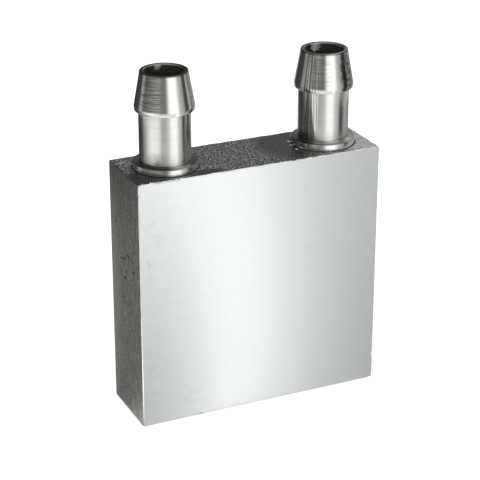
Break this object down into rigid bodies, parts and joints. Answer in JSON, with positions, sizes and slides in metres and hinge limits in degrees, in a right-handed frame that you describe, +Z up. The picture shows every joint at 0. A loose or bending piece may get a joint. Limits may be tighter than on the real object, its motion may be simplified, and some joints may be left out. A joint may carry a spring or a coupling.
{
  "type": "liquid cooling cold plate",
  "caption": "Flat square aluminium cold plate with inner coolant channels, fed through barbed hose fittings that stand on one narrow end.",
  "frame": {"origin": "middle of the bottom narrow face", "axes": "+Z up towards the hose fittings, +X along the width towards the right fitting, -Y out of the front broad face"},
  "size_m": [0.04, 0.012, 0.055],
  "materials": {
    "block_aluminium": "linished broad faces, dull sawn and blasted narrow faces",
    "turned_aluminium": "bright turned, with fine tool marks round the axis",
    "black_rubber": "matte moulded"
  },
  "bodies": {
    "root": {"channel_body": "block_aluminium", "top_end_plate": "block_aluminium", "bottom_end_plate": "block_aluminium", "left_hose_barb": "turned_aluminium", "right_hose_barb": "turned_aluminium", "left_seal_ring": "black_rubber", "right_seal_ring": "black_rubber"}
  },
  "joints": []
}
